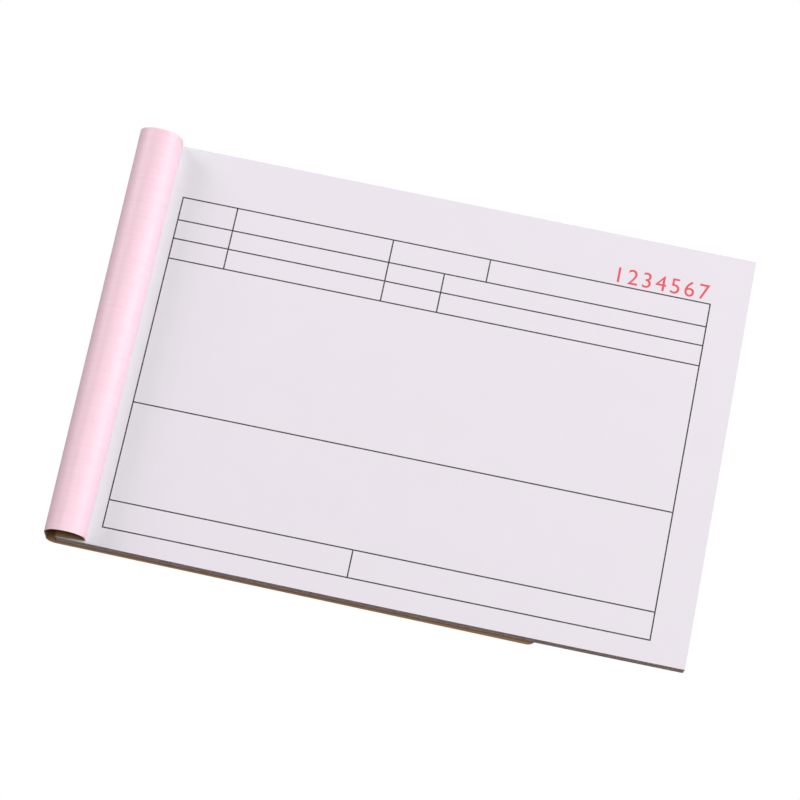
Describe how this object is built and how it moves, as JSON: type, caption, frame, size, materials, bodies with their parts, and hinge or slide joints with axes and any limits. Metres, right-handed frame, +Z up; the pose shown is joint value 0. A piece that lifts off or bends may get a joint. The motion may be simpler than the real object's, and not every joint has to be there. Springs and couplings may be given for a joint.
{
  "type": "carbonless form book",
  "caption": "Side-bound book of numbered three-part carbonless forms, with its card cover folded back round the spine and under the pad.",
  "frame": {"origin": "on the table, below the middle of the open book's outline", "axes": "+X from the spine to the leaves' free edge, +Y up the page, +Z up out of the page"},
  "size_m": [0.1946, 0.1312, 0.0168],
  "materials": {
    "kraft_card": "uncoated kraft card, matt, with short fibres",
    "pink_card": "pink side of the cover card, fine laid texture, soft sheen",
    "white_paper": "smooth uncoated white carbonless paper",
    "pink_paper": "smooth pink carbonless paper",
    "yellow_paper": "smooth yellow carbonless paper",
    "form_sets": "trimmed stack of white, pink and yellow sheets",
    "staple_wire": "bright galvanised wire",
    "padding_glue": "dried white padding glue"
  },
  "bodies": {
    "pad": {"cover_back": "kraft_card", "cover_spine": "kraft_card", "cover_margin_strip": "kraft_card", "spine_glue": "padding_glue", "staple_1": "staple_wire", "staple_2": "staple_wire", "set_02_copies": "yellow_paper", "set_02_white_margin": "white_paper", "set_01_yellow_margin": "yellow_paper", "set_01_pink_margin": "pink_paper", "set_01_white_margin": "white_paper", "set_03": "form_sets", "set_04": "form_sets", "set_05": "form_sets", "set_06": "form_sets", "set_07": "form_sets", "set_08": "form_sets", "set_09": "form_sets", "set_10": "form_sets", "set_11": "form_sets", "set_12": "form_sets", "set_13": "form_sets", "set_14": "form_sets", "set_15": "form_sets", "set_16": "form_sets", "set_17": "form_sets", "set_18": "form_sets", "set_19": "form_sets", "set_20": "form_sets", "set_21": "form_sets", "set_22": "form_sets", "set_23": "form_sets", "set_24": "form_sets", "set_25": "form_sets"},
    "cover_roll_1": {"cover_roll_1": "pink_card"},
    "cover_roll_2": {"cover_roll_2": "pink_card"},
    "cover_roll_3": {"cover_roll_3": "pink_card"},
    "cover_roll_4": {"cover_roll_4": "pink_card"},
    "cover_front": {"cover_front": "kraft_card"},
    "set_02_white_leaf": {"set_02_white_leaf": "white_paper"},
    "set_01_yellow_leaf": {"set_01_yellow_leaf": "yellow_paper"},
    "set_01_pink_leaf": {"set_01_pink_leaf": "pink_paper"},
    "set_01_white_leaf": {"set_01_white_leaf": "white_paper"}
  },
  "joints": [
    {"name": "cover_swing", "type": "hinge", "parent": "pad", "child": "cover_roll_1", "pos_m": [-0.08414, 0.00015, 0.00622], "axis": [0, -1, 0], "range_deg": [-90, 0]},
    {"name": "cover_bend_1", "type": "hinge", "parent": "cover_roll_1", "child": "cover_roll_2", "pos_m": [-0.08414, 0.00015, 0.01288], "axis": [0, -1, 0], "range_deg": [-60, 0]},
    {"name": "cover_bend_2", "type": "hinge", "parent": "cover_roll_2", "child": "cover_roll_3", "pos_m": [-0.09054, 0.00015, 0.01658], "axis": [0, -1, 0], "range_deg": [-60, 0]},
    {"name": "cover_bend_3", "type": "hinge", "parent": "cover_roll_3", "child": "cover_roll_4", "pos_m": [-0.09694, 0.00015, 0.01288], "axis": [0, -1, 0], "range_deg": [-60, 0]},
    {"name": "cover_bend_4", "type": "hinge", "parent": "cover_roll_4", "child": "cover_front", "pos_m": [-0.09694, 0.00015, 0.00031], "axis": [0, -1, 0], "range_deg": [-90, 0]},
    {"name": "set_02_white_turn", "type": "hinge", "parent": "pad", "child": "set_02_white_leaf", "pos_m": [-0.06874, 0.00015, 0.00581], "axis": [0, -1, 0], "range_deg": [0, 24]},
    {"name": "set_01_yellow_turn", "type": "hinge", "parent": "set_02_white_leaf", "child": "set_01_yellow_leaf", "pos_m": [-0.06874, 0.00015, 0.00581], "axis": [0, -1, 0], "range_deg": [0, 24]},
    {"name": "set_01_pink_turn", "type": "hinge", "parent": "set_01_yellow_leaf", "child": "set_01_pink_leaf", "pos_m": [-0.06874, 0.00015, 0.00581], "axis": [0, -1, 0], "range_deg": [0, 30]},
    {"name": "set_01_white_turn", "type": "hinge", "parent": "set_01_pink_leaf", "child": "set_01_white_leaf", "pos_m": [-0.06874, 0.00015, 0.00581], "axis": [0, -1, 0], "range_deg": [0, 70]}
  ],
  "couplings": [
    {"joint": "cover_swing", "follows": "cover_bend_4", "ratio": 1},
    {"joint": "cover_bend_1", "follows": "cover_bend_4", "ratio": 0.6667},
    {"joint": "cover_bend_2", "follows": "cover_bend_4", "ratio": 0.6667},
    {"joint": "cover_bend_3", "follows": "cover_bend_4", "ratio": 0.6667}
  ]
}
